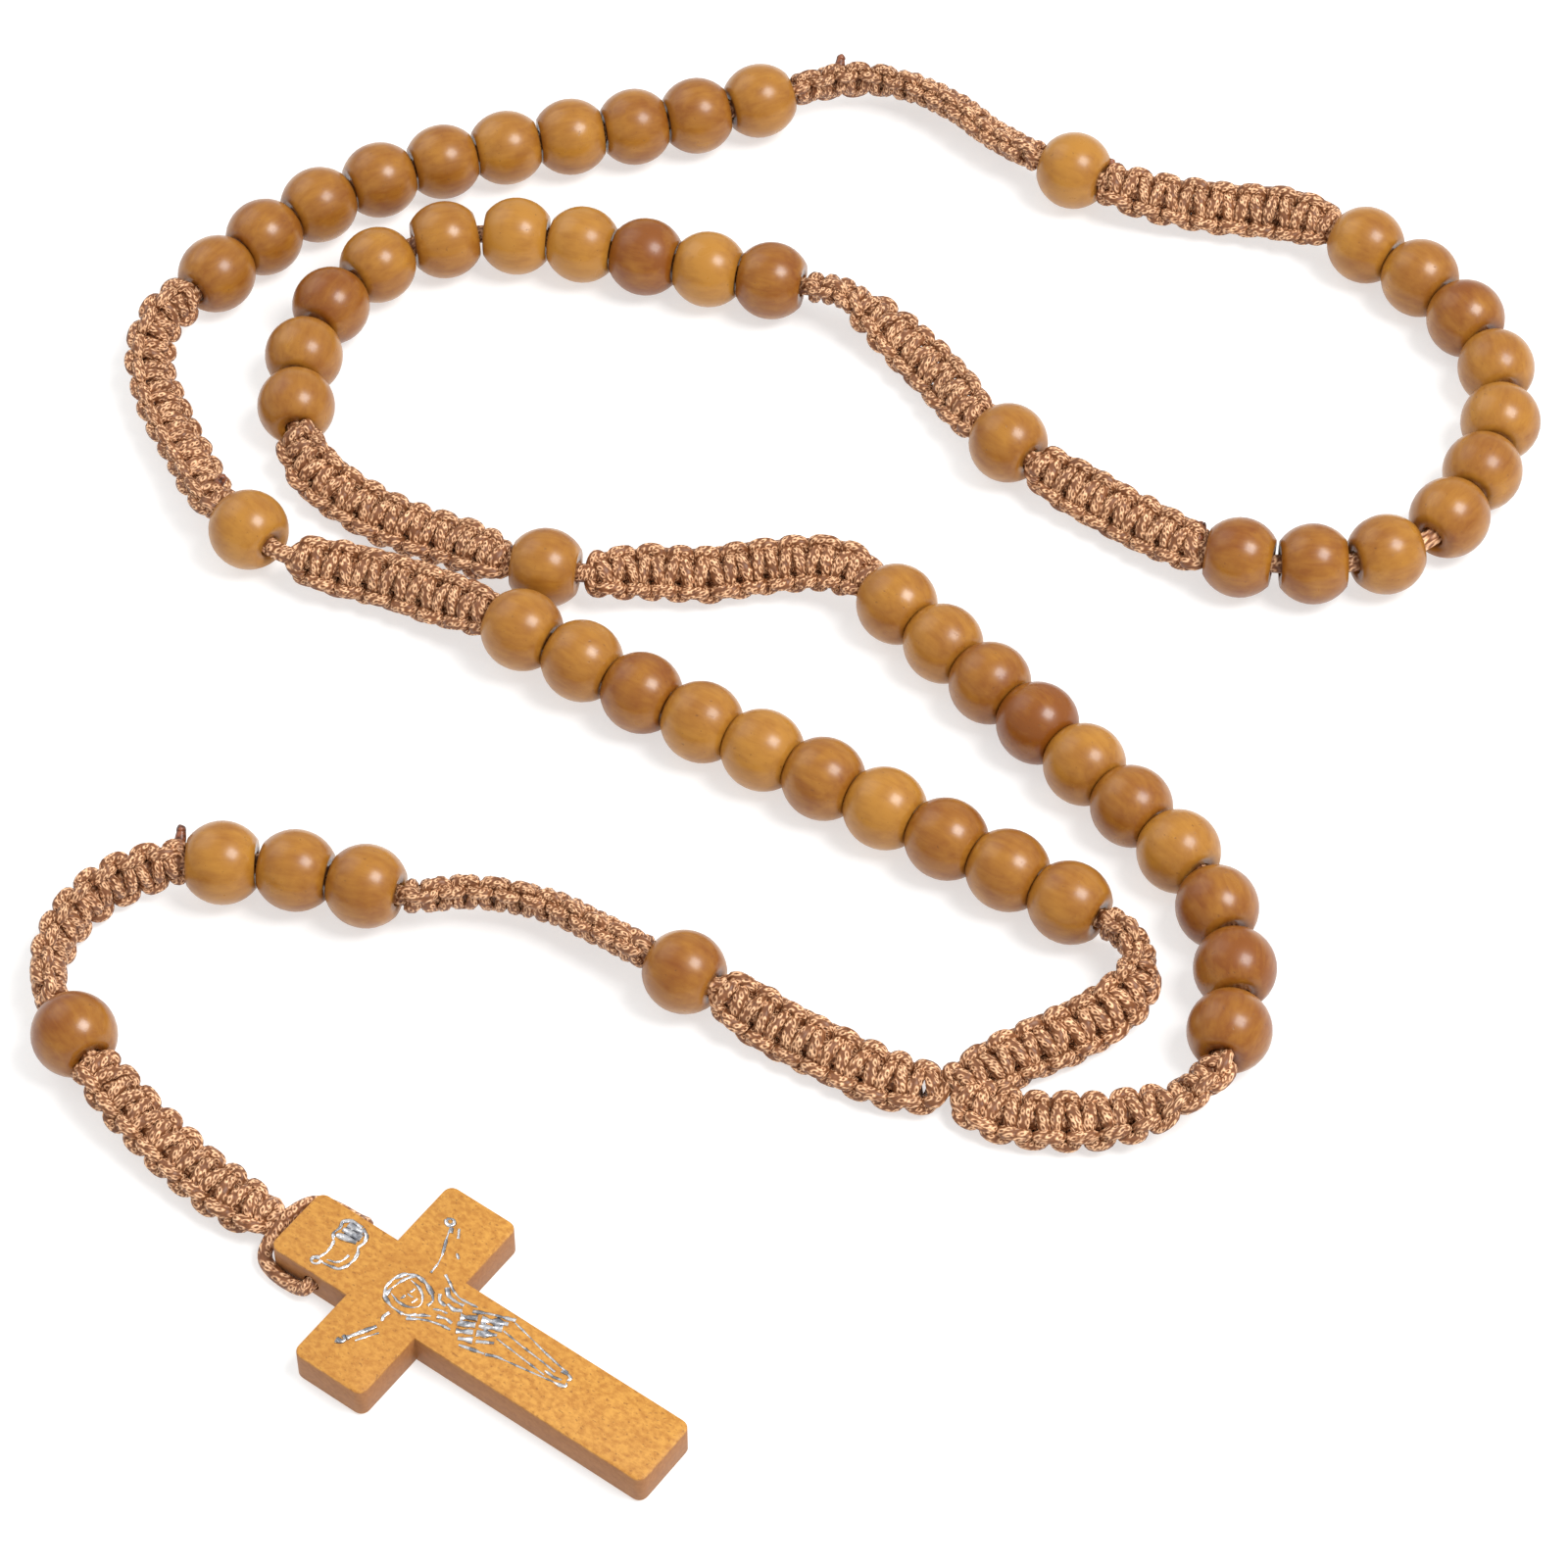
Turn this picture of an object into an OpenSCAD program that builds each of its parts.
// Rosary: five decades of round wooden beads on a cord, with flat-knotted strips
// between them, a five-bead pendant and a wooden cross. It lies on a table, in mm,
// +Z up, with its origin under the middle of its plan.

/* [Beads] */
// Diameter of a bead across its bore
bead_d = 8.1; // [7.9:0.1:8.2]
// Length of a bead along its bore, between its two flats
bead_l = 6.6; // [6.5:0.1:6.8]
// Bore through a bead
bore_d = 2.4; // [2.4:0.1:2.8]
// Play left between two beads of a row
bead_gap = 0.14; // [0.12:0.02:0.3]

/* [Cord] */
// Core cord that runs through every bead
core_d = 2; // [1.6:0.1:2]
// Width of a knotted strip
strip_w = 5.6; // [5:0.1:6]
// Thickness of a knotted strip
strip_t = 3.3; // [2.6:0.1:3.5]
// Cord of the hanging loop that holds the cross
loop_d = 1.4; // [1.2:0.1:1.5]

/* [Cross] */
// Length of the upright
cross_l = 42; // [38:0.5:46]
// Span of the crossbar
cross_w = 22.4; // [20:0.2:26]
// Thickness of the cross
cross_t = 3.6; // [3.2:0.1:4.2]
// Width of the upright
upright_w = 7.4; // [7:0.1:7.5]
// Height of the crossbar
crossbar_h = 7.9; // [7:0.1:8.5]
// Top of the upright down to the crossbar
crossbar_top = 8.9; // [8:0.1:10]
// Hole across the upright for the hanging loop
hole_d = 1.7; // [1.7:0.1:2]

/* [Hidden] */
$fn = 48;

DECADES = 5;
PER_DECADE = 10;
OWN_NODE_DECADES = 4;
function bead_name(d, b) = str("decade_", d, "_bead_", b < 10 ? "0" : "", b);

// The cord's route, by hand: plan x and y, height above or below the bore of a
// bead that rests on the table, and roll of the flat strip in degrees, with its
// left side raised when it is positive.
junction = [11.5, -47];
strip_junction_to_1 = [
    [11.5, -47, -2.1, 0], [17, -43.7, -1.9, 15], [22.5, -41, -1.5, 25],
    [27, -38, -1.2, 40], [29.3, -34.5, -0.9, 60], [28.8, -31.5, 0, 70]
];
decade_1 = [
    [26.5, -29.1, 0, 60], [18, -23.3, 0, 0], [6.5, -15.7, 0, 0], [-5.3, -8.4, 0, 0],
    [-17.5, -1, 0, 0], [-24, 3.2, 0.3, 0], [-30, 7, 1.1, -10]
];
strip_1_to_father_1 = [
    [-34, 9.2, 0.8, -20], [-38.5, 12, -0.1, -35], [-45, 15, -0.5, -35],
    [-50, 16.4, -0.3, -30], [-53.8, 17.7, 0.1, -20]
];
father_1 = [[-58.2, 20.2, 0, 0]];
strip_father_1_to_2 = [
    [-60.9, 24.6, 0.1, 40], [-64.7, 32, -1.1, 30], [-68, 39.5, -1.4, 30],
    [-69.6, 45.5, -1.1, 45], [-68.6, 50.6, 0, 70]
];
decade_2 = [
    [-65.6, 54.2, 0, 60], [-58.8, 62.6, 0, 0], [-53.6, 67.4, 0, 0],
    [-47.5, 70.9, 0, 0], [-34.2, 75.9, 0, 0], [-20.3, 79.1, 0, 0], [-6.8, 83, 0, -60]
];
strip_2_to_father_2 = [
    [-2.2, 85, 0.1, -75], [3.5, 87, -0.4, -65], [9, 86.6, -1, -55],
    [14.5, 83.2, -1.2, -50], [19, 78.5, -0.8, -45], [23, 74.8, 0.1, -35]
];
father_2 = [[26.8, 72, 0, -10]];
strip_father_2_to_3 = [
    [31, 70.3, 0.1, 0], [36.5, 68.9, -0.8, 15], [43, 67.6, -0.9, 30], [50, 65.7, -0.1, 36]
];
decade_3 = [
    [54.4, 63.4, 0, 30], [62.6, 56.6, 0, 0], [67.4, 50, 0, 0], [70, 43, 0, 0],
    [69.7, 35.8, 0, 0], [67, 29.2, 0, 0], [63.6, 22.8, 0, 0], [60.3, 18.9, 0, 0],
    [56.5, 17, 0, 0], [49.5, 16.1, 0, 0], [42.6, 16.5, 0, 0]
];
strip_3_to_father_3 = [
    [38.4, 17.6, 0.1, -25], [34.2, 20.6, -0.5, -30], [29.5, 24.2, -0.9, -30],
    [26, 26.7, -0.6, -30], [21.9, 29.7, 0.1, -25]
];
father_3 = [[18.4, 32.2, 0, -25]];
strip_father_3_to_4 = [
    [15.9, 36.2, 0.1, -30], [12.2, 42.6, -0.8, -26], [9.2, 47, -1.1, -15],
    [5.8, 51.3, -0.9, 15], [2, 54.2, 0, 50]
];
decade_4 = [
    [-1.9, 55.1, 0, 60], [-12.1, 57.6, 0, 0], [-26.1, 61.5, 0, 0], [-33, 62.9, 0, 0],
    [-39.8, 62.4, 0, 0], [-46.2, 59.4, 0, 0], [-50.9, 53.4, 0, 0],
    [-53.6, 46.8, 0, 0], [-54.3, 39.6, 0, 0]
];
strip_4_to_father_4 = [
    [-53.8, 34, 0.1, 55], [-51.9, 30, -0.7, 30], [-48, 26.3, -1.4, 20],
    [-42, 22.6, -1.6, 15], [-37, 20.2, -1.2, 15], [-32.6, 17.1, 0.1, 10]
];
father_4 = [[-27.9, 14.9, 0, 0]];
strip_father_4_to_5 = [
    [-23.3, 15.1, 0.1, 5], [-18, 15.9, -0.9, 20], [-12, 15.8, -1.1, 25],
    [-5, 16.8, -0.9, 25], [1.2, 16, 0, 20]
];
decade_5 = [
    [4.6, 13.8, 0, 10], [11.3, 6, 0, 0], [20.6, -4.4, 0, 0], [29.5, -15.2, 0, 0],
    [33.9, -20.5, 0, 0], [37, -26.3, 0, 0], [38.3, -33, 0, 0], [38, -40.6, 0, 40]
];
strip_5_to_junction = [
    [36.2, -45.8, 0.1, 60], [33, -48.5, -0.7, 45], [28.5, -49.9, -1.7, 10],
    [22, -50.5, -2.2, -5], [16, -49.6, -2.2, -5], [11.8, -47.2, -2.1, 0]
];

strip_junction_to_pendant = [
    [11, -47, -2.1, -5], [6.5, -46.2, -2, -10], [0, -43, -1.7, -20],
    [-5, -40.1, -1.2, -25], [-9.4, -37.4, 0.1, -20]
];
father_5 = [[-13.3, -35.1, 0, 20]];
strip_father_5_to_hails = [
    [-17, -32.6, 0.1, 60], [-21.5, -29.2, -0.7, 60], [-26.5, -26.3, -1, 65],
    [-33.5, -25, -0.5, 65]
];
hails = [
    [-39.6, -26, 0, 60], [-43.2, -25.1, 0, 0], [-49.4, -22.7, 0, 0], [-56.3, -21.8, 0, -60]
];
strip_hails_to_father_6 = [
    [-61.2, -21.7, 0, -75], [-65.8, -22.7, -0.6, -80], [-70, -25.6, -1, -80],
    [-72.4, -30, -1, -80], [-72.9, -34.6, -0.6, -80], [-72, -38.3, 0.1, -60]
];
father_6 = [[-69.8, -42.2, 0, -30]];
strip_father_6_to_cross = [
    [-67.4, -45.8, 0.1, -20], [-63, -50.9, -1.1, -15], [-58, -55.8, -1.9, -10],
    [-52.8, -59.9, -2.2, -5], [-49.6, -61.4, -2.3, 0]
];

// The cross lies with the middle of its top end here, and its foot this way.
cross_top = [-48.1, -62.3];
cross_turn = -36.3;
loop_hole_down = 4.8;
// Half of the hanging loop, beside the upright: along it, across it, from the
// strip's last knot to the hole.
loop_side = [[-2.3, 0.9], [-1.6, 2.7], [-0.9, 4.1], [1.4, 4.9], [4, 4.8], [4.8, 4.3], [4.8, 2]];

// Extra play at each bead of a decade, and more where the loop's cord turns at the
// seventh bead of decade 3
decade_play = [0.14, 0.12, 0, 0.04, 0];
turn_slack = 0.5;
turn_slack_at = [3, 7];
bare_at_bead = 0.75;
bare_at_father_1 = 2.2;
bare_at_father_4 = 0.9;
taper_l = 2.6;
taper_share = 0.5;
strip_ring_pitch = 3;
core_ring_pitch = 8;
clear_of_table = 0.07;
countersink = 0.35;
corner_r = 0.9;
foil_t = 0.08;
foil_line = 0.35;
steps = 8;

plan_shift = [0.5, 0.53];

// ---- Smooth line through a route ----

function lifted(route) = [
    for (p = route)
        [p[0] + plan_shift[0], p[1] + plan_shift[1], bead_d / 2 + clear_of_table + p[2], p[3]]
];
function xyz(p) = [p[0], p[1], p[2]];
function unit(v) = v / norm(v);
function span(p, i) = norm(xyz(p[i + 1]) - xyz(p[i]));
// Direction per mm of line at a point, weighted towards its nearer neighbour
function slope(p, i) =
    i == 0 ? (p[1] - p[0]) / span(p, 0) :
    i == len(p) - 1 ? (p[i] - p[i - 1]) / span(p, i - 1) :
    let (a = span(p, i - 1), b = span(p, i))
    ((p[i] - p[i - 1]) / a * b + (p[i + 1] - p[i]) / b * a) / (a + b);
function hermite(p, i, t) =
    let (l = span(p, i))
    (2 * t * t * t - 3 * t * t + 1) * p[i]
    + (t * t * t - 2 * t * t + t) * l * slope(p, i)
    + (3 * t * t - 2 * t * t * t) * p[i + 1]
    + (t * t * t - t * t) * l * slope(p, i + 1);
function smooth(p) = [
    for (i = [0:len(p) - 2], k = [0:steps - 1]) hermite(p, i, k / steps), p[len(p) - 1]
];
function lengths(q) = [
    for (i = 0, s = 0; i < len(q); i = i + 1,
         s = i < len(q) ? s + norm(xyz(q[i]) - xyz(q[i - 1])) : s) s
];
// A line is one table for each of x, y, z and roll against the length along it,
// with the lengths of the route's own points last.
function line_of(route) =
    let (p = lifted(route), q = smooth(p), s = lengths(q))
    [
        for (k = [0:3]) [for (i = [0:len(q) - 1]) [s[i], q[i][k]]],
        [for (i = [0:len(p) - 1]) s[i * steps]]
    ];
function at(line, s) = [lookup(s, line[0]), lookup(s, line[1]), lookup(s, line[2])];
function roll_at(line, s) = lookup(s, line[3]);
function along(line, s) = unit(at(line, s + 0.4) - at(line, s - 0.4));
function turn(line, a, b) = acos(min(1, along(line, a) * along(line, b)));

// ---- Stations of the beads along the two lines ----

bead_face_d = sqrt(bead_d * bead_d - bead_l * bead_l);
// Room at a place between two beads, for their flats' rims where the cord turns
function rim_room(line, s) =
    bead_gap / 2 + bead_face_d / 2 * tan(turn(line, s - bead_l / 2, s + bead_l / 2) / 1.5);
function pitch(line, s) =
    let (b = s + bead_l + bead_gap)
    (rim_room(line, s) + bead_l + rim_room(line, b)) / cos(turn(line, s, b) / 3.4);
// Places between the beads of a row, from the one before its first bead
function row(line, s0, count, play = 0, slack = 0, slack_at = -1) = [
    for (i = 0, s = s0; i <= count;
         s = s + pitch(line, s) + play + (i == slack_at ? slack : 0), i = i + 1) s
];
function single(line, s) = [s - bead_l / 2 - bead_gap / 2, s + bead_l / 2 + bead_gap / 2];

loop_stretches = [
    strip_junction_to_1, decade_1, strip_1_to_father_1, father_1, strip_father_1_to_2,
    decade_2, strip_2_to_father_2, father_2, strip_father_2_to_3, decade_3,
    strip_3_to_father_3, father_3, strip_father_3_to_4, decade_4, strip_4_to_father_4,
    father_4, strip_father_4_to_5, decade_5, strip_5_to_junction
];
pendant_stretches = [
    strip_junction_to_pendant, father_5, strip_father_5_to_hails, hails,
    strip_hails_to_father_6, father_6, strip_father_6_to_cross
];
function joined(lists) = [for (l = lists) each l];
function starts(lists) = [
    for (i = 0, n = 0; i < len(lists); n = n + len(lists[i]), i = i + 1) n
];
loop_line = line_of(joined(loop_stretches));
pendant_line = line_of(joined(pendant_stretches));
loop_start = [for (i = starts(loop_stretches)) loop_line[4][i]];
pendant_start = [for (i = starts(pendant_stretches)) pendant_line[4][i]];

// Every bead row as the places between its beads, in the order of the cord
loop_rows = [
    for (k = [0:8])
        let (s = loop_start[1 + 2 * k])
        k % 2 == 1 ? single(loop_line, s) :
        row(loop_line, s, PER_DECADE, decade_play[k / 2], turn_slack,
            k / 2 + 1 == turn_slack_at[0] ? turn_slack_at[1] - 1 : -1)
];
pendant_rows = [
    single(pendant_line, pendant_start[1]),
    row(pendant_line, pendant_start[3], 3),
    single(pendant_line, pendant_start[5])
];
function first(v) = v[0];
function last(v) = v[len(v) - 1];
function line_end(line) = last(line[4]);

// Each strip as its line, first place and last place
loop_strips = [
    [loop_line, 0, first(loop_rows[0]) - bare_at_bead],
    [loop_line, last(loop_rows[0]) + bare_at_bead, first(loop_rows[1]) - bare_at_father_1],
    [loop_line, last(loop_rows[1]) + bare_at_bead, first(loop_rows[2]) - bare_at_bead],
    [loop_line, last(loop_rows[2]) + bare_at_bead, first(loop_rows[3]) - bare_at_bead],
    [loop_line, last(loop_rows[3]) + bare_at_bead, first(loop_rows[4]) - bare_at_bead],
    [loop_line, last(loop_rows[4]) + bare_at_bead, first(loop_rows[5]) - bare_at_bead],
    [loop_line, last(loop_rows[5]) + bare_at_bead, first(loop_rows[6]) - bare_at_bead],
    [loop_line, last(loop_rows[6]) + bare_at_bead, first(loop_rows[7]) - bare_at_bead],
    [loop_line, last(loop_rows[7]) + bare_at_father_4, first(loop_rows[8]) - bare_at_bead],
    [loop_line, last(loop_rows[8]) + bare_at_bead, line_end(loop_line)]
];
pendant_strips = [
    [pendant_line, 0.6, first(pendant_rows[0]) - bare_at_bead],
    [pendant_line, last(pendant_rows[0]) + bare_at_bead, first(pendant_rows[1]) - bare_at_bead],
    [pendant_line, last(pendant_rows[1]) + bare_at_bead, first(pendant_rows[2]) - bare_at_bead],
    [pendant_line, last(pendant_rows[2]) + bare_at_bead, line_end(pendant_line)]
];

// ---- Swept solids ----

// A closed solid through rings of equal size, each a list of points that runs
// anticlockwise seen from the end it heads for
module swept(rings, closed = false) {
    n = len(rings[0]);
    m = len(rings);
    walls = [
        for (i = [0:m - (closed ? 1 : 2)], k = [0:n - 1])
        let (a = i * n, b = (i + 1) % m * n, k2 = (k + 1) % n)
        each [[a + k, b + k, b + k2], [a + k, b + k2, a + k2]]
    ];
    ends = closed ? [] : [[for (k = [0:n - 1]) k], [for (k = [n - 1:-1:0]) (m - 1) * n + k]];
    polyhedron(joined(rings), concat(walls, ends), convexity = 8);
}

function side_of(t) = unit(cross([0, 0, 1], t));
// Ring of a round cord at a point, square to a direction
function round_ring(c, t, d, sides = 8) =
    let (n = side_of(t), u = cross(t, n))
    [for (k = [0:sides - 1]) c + d / 2 * (cos(360 * k / sides) * n + sin(360 * k / sides) * u)];
function strip_half_height(w, t, roll) = abs(w / 2 * sin(roll)) + abs(t / 2 * cos(roll));
// Ring of a flat strip with round edges, kept clear of the table
function strip_ring(line, s, w, t) =
    let (
        d = along(line, s), r = roll_at(line, s), c = at(line, s),
        z = max(c[2], strip_half_height(w, t, r) + clear_of_table),
        n0 = side_of(d), u0 = cross(d, n0),
        n = cos(r) * n0 + sin(r) * u0, u = cross(d, n)
    )
    [
        for (k = [0:11])
        let (q = 360 * (k + 0.5) / 12)
        [c[0], c[1], z]
        + (cos(q) * t / 2 + sign(cos(q)) * (w - t) / 2) * n
        + sin(q) * t / 2 * u
    ];
function taper(s, a, b) =
    taper_share + (1 - taper_share) * sin(90 * min(1, min(s - a, b - s) / taper_l));

module strip(place) {
    line = place[0];
    a = place[1];
    b = place[2];
    count = max(4, ceil((b - a) / strip_ring_pitch));
    swept([
        for (i = [0:count])
        let (s = a + (b - a) * i / count, k = taper(s, a, b))
        strip_ring(line, s, strip_w * k, strip_t * (0.5 + k / 2))
    ]);
}

// Places of the core cord's rings: between all beads, and a few inside each strip
function core_places(rows, a, b) =
    let (
        gaps = [a, for (r = rows) each [first(r), last(r)], b],
        inside = [
            for (i = [0:len(rows)])
            let (s0 = gaps[2 * i], s1 = gaps[2 * i + 1], n = ceil((s1 - s0) / core_ring_pitch))
            [for (k = [0:n]) s0 + (s1 - s0) * k / n]
        ],
        between = [for (r = rows) [for (i = [1:1:len(r) - 2]) r[i]]]
    )
    [for (i = [0:len(rows)]) each concat(inside[i], i < len(rows) ? between[i] : [])];
module core(line, places) {
    c = [for (s = places) at(line, s)];
    m = len(c);
    swept([
        for (i = [0:m - 1])
        round_ring(c[i], unit(c[min(m - 1, i + 1)] - c[max(0, i - 1)]), core_d)
    ]);
}

// ---- Beads ----

module between(a, b) {
    d = b - a;
    translate((a + b) / 2)
        rotate([0, acos(d[2] / norm(d)), atan2(d[1], d[0])])
            children();
}

module bead() {
    rotate_extrude()
        difference() {
            intersection() {
                circle(d = bead_d, $fn = 96);
                translate([0, -bead_l / 2]) square([bead_d, bead_l]);
            }
            translate([0, -bead_d / 2]) square([bore_d / 2, bead_d]);
            for (side = [-1, 1])
                translate([bore_d / 2, side * bead_l / 2])
                    rotate(45) square(countersink * sqrt(2), center = true);
        }
}

// Lacquer runs from ochre to red-brown from bead to bead
bead_colours = ["#b8752a", "#a9651f", "#c08436", "#a35c22", "#b97a30"];
module bead_of(line, places, i, tone) {
    a = at(line, places[i]);
    b = at(line, places[i + 1]);
    slack = norm(b - a) - bead_l;
    lean = (rim_room(line, places[i]) - rim_room(line, places[i + 1])) / 2;
    color(bead_colours[tone % 5])
        between(a, b)
            translate([0, 0, max(-slack / 2, min(slack / 2, lean))])
                bead();
}

// ---- Cross ----

module on_cross() {
    translate([cross_top[0] + plan_shift[0], cross_top[1] + plan_shift[1], 0])
        rotate([0, 0, cross_turn])
            children();
}

module board(x0, x1, w) {
    r = corner_r;
    translate([x0, r - w / 2, 0]) cube([x1 - x0, w - 2 * r, cross_t]);
    translate([x0 + r, -w / 2, 0]) cube([x1 - x0 - 2 * r, w, cross_t]);
    for (x = [x0 + r, x1 - r], y = [r - w / 2, w / 2 - r])
        translate([x, y, 0]) cylinder(r = r, h = cross_t);
}

module cross_body() {
    color("#c98a2b")
        on_cross()
            difference() {
                union() {
                    board(0, cross_l, upright_w);
                    board(crossbar_top, crossbar_top + crossbar_h, cross_w);
                }
                translate([loop_hole_down, 0, cross_t / 2])
                    rotate([90, 0, 0])
                        cylinder(d = hole_d, h = upright_w + 2, center = true);
            }
}

// Ribbon of constant width along a list of plan points
function ribbon(p, w) =
    let (
        m = len(p) - 1,
        n = [
            for (i = [0:m])
            let (d = p[min(m, i + 1)] - p[max(0, i - 1)])
            [-d[1], d[0]] / norm(d) * w / 2
        ]
    )
    concat([for (i = [0:m]) p[i] + n[i]], [for (i = [m:-1:0]) p[i] - n[i]]);
// Stamped outlines, along the upright from its top and across it
foil_arm = [[11.6, 7], [13.2, 4.6], [15.2, 2.6], [17, 1.7]];
foil_cloth = [[19.2, 2.1], [20.6, 0.8], [21, -0.6], [20.2, -1.6]];
foil_leg = [[22.4, 1.2], [26, 0.9], [30.8, 0.5]];
foil_head_at = [13.8, 0];
foil_head_d = 3.2;
foil_plaque_at = [5.9, 0];
foil_plaque = [2.6, 4.6];
module cross_foil() {
    color("silver")
        on_cross()
            translate([0, 0, cross_t])
                linear_extrude(foil_t) {
                    for (side = [-1, 1])
                        for (p = [foil_arm, foil_leg])
                            polygon(ribbon([for (q = p) [q[0], q[1] * side]], foil_line));
                    polygon(ribbon(foil_cloth, foil_line * 3));
                    translate(foil_head_at)
                        difference() {
                            circle(d = foil_head_d);
                            circle(d = foil_head_d - 2 * foil_line);
                        }
                    translate(foil_plaque_at)
                        difference() {
                            square(foil_plaque, center = true);
                            square([for (s = foil_plaque) s - 2 * foil_line], center = true);
                        }
                }
}

// ---- Cords and knots ----

module loop_cord() {
    color("#8a5a3c")
        core(loop_line, core_places(loop_rows, 2.6, line_end(loop_line) - 1.8));
}

// The pendant's cord, and its last turn through the hole of the cross
module pendant_cord() {
    half = [for (p = loop_side) [p[0], p[1], cross_t / 2]];
    ring = concat(half, [for (i = [len(half) - 1:-1:0]) [half[i][0], -half[i][1], half[i][2]]]);
    m = len(ring);
    color("#8a5a3c") {
        core(pendant_line, core_places(pendant_rows, 2, line_end(pendant_line)));
        on_cross()
            swept([
                for (i = [0:m - 1])
                round_ring(ring[i], unit(ring[(i + 1) % m] - ring[(i + m - 1) % m]), loop_d)
            ], closed = true);
    }
}

module junction_knots() {
    color("#a87450")
        for (i = [0, 9]) strip(loop_strips[i]);
}

module strip_knots(k) {
    color("#a87450")
        for (i = [2 * k - 1, 2 * k]) strip(loop_strips[i]);
}

module pendant_knots() {
    color("#a87450")
        for (place = pendant_strips) strip(place);
}

// ---- What is drawn ----

loop_cord();
pendant_cord();
junction_knots();
for (k = [1:4])
    strip_knots(k);
pendant_knots();
cross_body();  // cross
cross_foil();
for (d = [1:OWN_NODE_DECADES], b = [1:PER_DECADE])
    bead_of(loop_line, loop_rows[2 * d - 2], b - 1, 3 * d + b);
for (b = [1:PER_DECADE]) bead_of(loop_line, loop_rows[8], b - 1, b);  // decade_5_beads
for (k = [1:4])
    bead_of(loop_line, loop_rows[2 * k - 1], 0, k);
for (k = [5:6])
    bead_of(pendant_line, pendant_rows[2 * (k - 5)], 0, k);
for (k = [1:3])
    bead_of(pendant_line, pendant_rows[1], k - 1, k);
